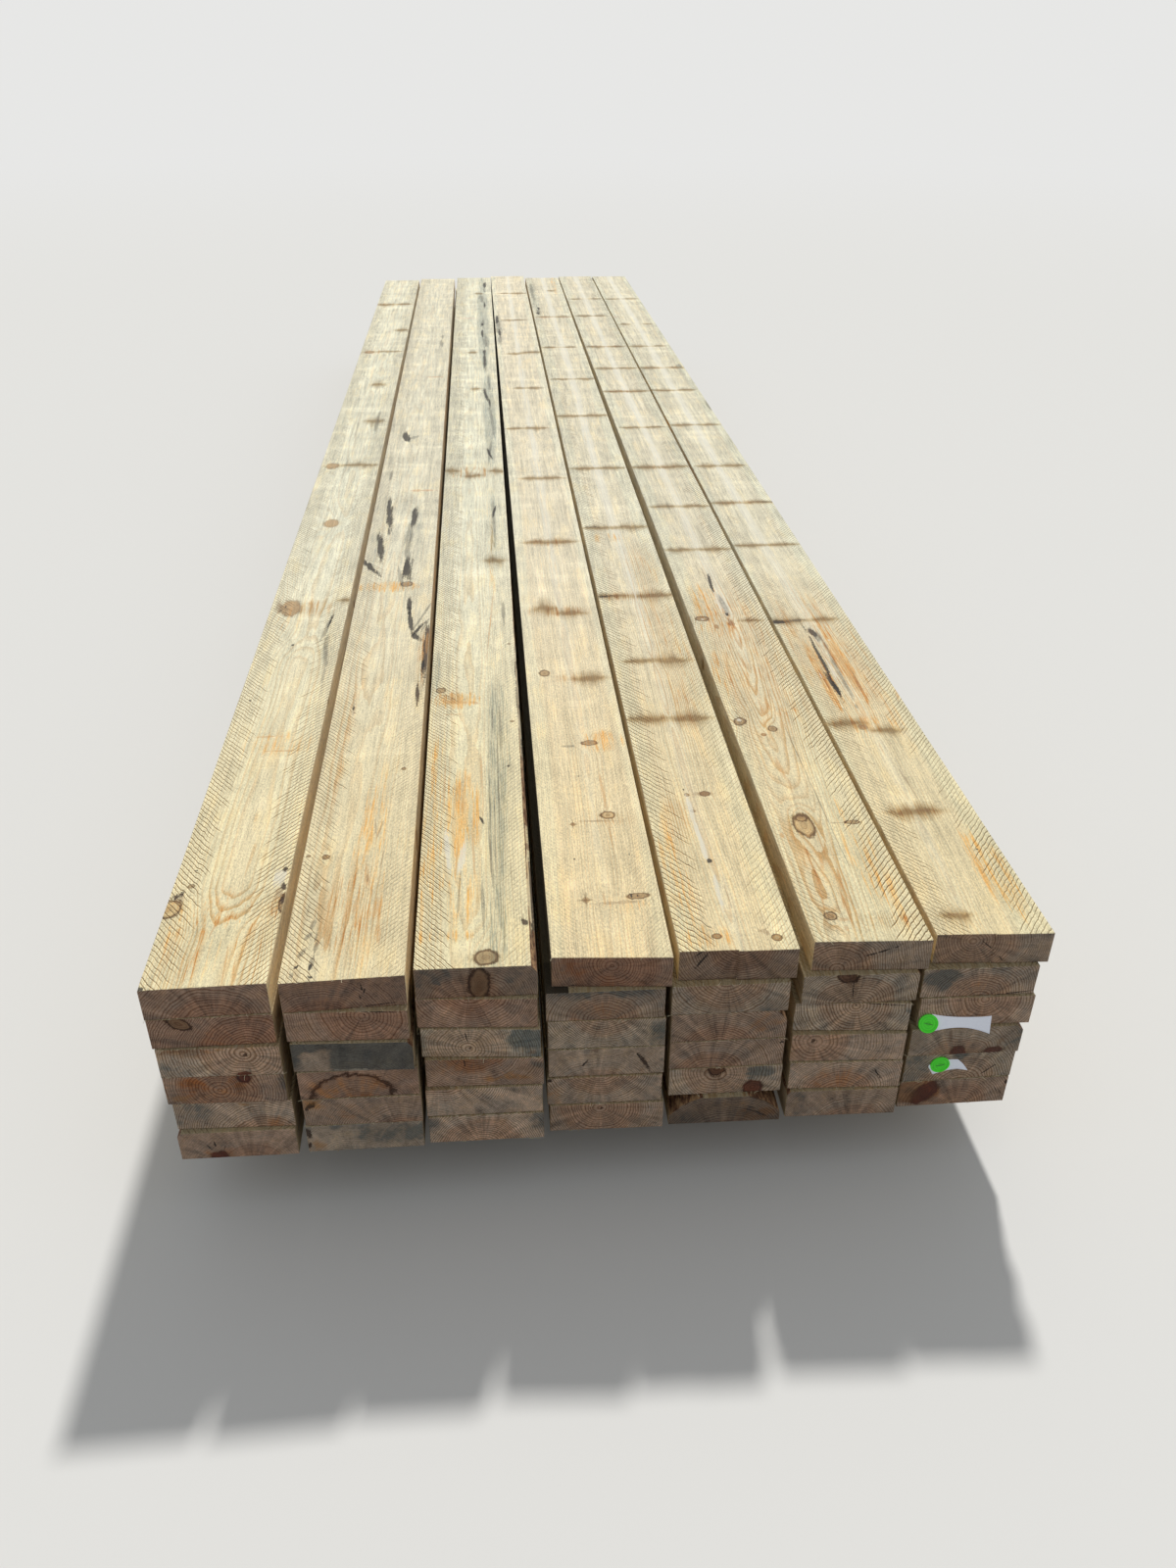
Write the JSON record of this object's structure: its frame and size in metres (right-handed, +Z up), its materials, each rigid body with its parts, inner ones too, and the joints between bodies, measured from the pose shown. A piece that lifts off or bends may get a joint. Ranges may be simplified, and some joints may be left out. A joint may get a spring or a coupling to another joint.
{
  "type": "stack of lumber",
  "caption": "Stack of rough-sawn softwood planks laid flat in close layers on grooved bearers, with bare label strips pinned to the plank ends.",
  "frame": {"origin": "on the ground under the middle of the stack's overall plan", "axes": "+Y along the planks, away from the labelled ends; +X across the stack; +Z up"},
  "size_m": [1.125, 4.858, 0.377],
  "materials": {
    "plank_wood": "rough sawn, weathered",
    "bearer_wood": "rough sawn, greyed",
    "label_button": "moulded, satin",
    "label_paper": "matt"
  },
  "bodies": {
    "root": {"plank_layer_1": "plank_wood", "plank_layer_2": "plank_wood", "plank_layer_3": "plank_wood", "plank_layer_4": "plank_wood", "plank_layer_5": "plank_wood", "plank_layer_6": "plank_wood", "bearer_front": "bearer_wood", "bearer_middle": "bearer_wood", "bearer_back": "bearer_wood", "label_button_upper": "label_button", "label_button_lower": "label_button", "label_strip_upper": "label_paper", "label_strip_lower": "label_paper"}
  },
  "joints": []
}
